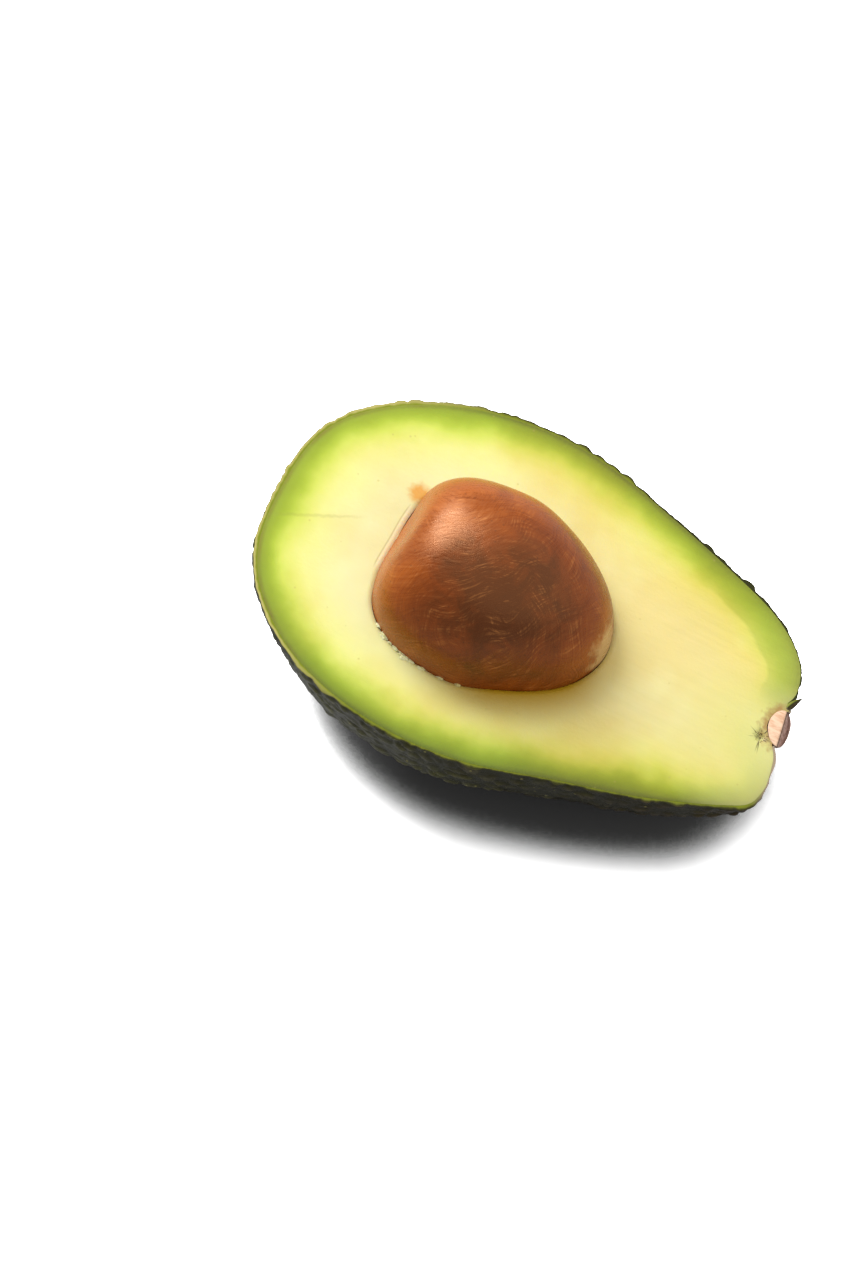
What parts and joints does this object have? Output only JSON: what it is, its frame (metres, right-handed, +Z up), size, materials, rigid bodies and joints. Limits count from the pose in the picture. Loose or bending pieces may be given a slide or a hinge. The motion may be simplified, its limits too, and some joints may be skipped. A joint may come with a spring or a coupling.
{
  "type": "halved avocado",
  "caption": "Avocado half lying on its back, cut face up, with its pit seated in the flesh, a thin pebbled skin and the stump of its stem.",
  "frame": {"origin": "on the surface it rests on, under the centre of its bounding box", "axes": "+Z up, +X level along the fruit towards the stem end, +Y across it; the cut face looks up and leans 11 degrees towards +X"},
  "size_m": [0.1002, 0.0688, 0.0531],
  "materials": {
    "skin": "pebbled, dark green to purple black, waxy sheen",
    "flesh": "smooth moist cut flesh, butter yellow turning green under the skin",
    "pit": "satin red-brown seed coat with fine veins",
    "stem": "dry cut stump, pale inside and brown at the bark"
  },
  "bodies": {
    "root": {"skin": "skin", "flesh": "flesh", "pit": "pit", "stem_stump": "stem"}
  },
  "joints": []
}
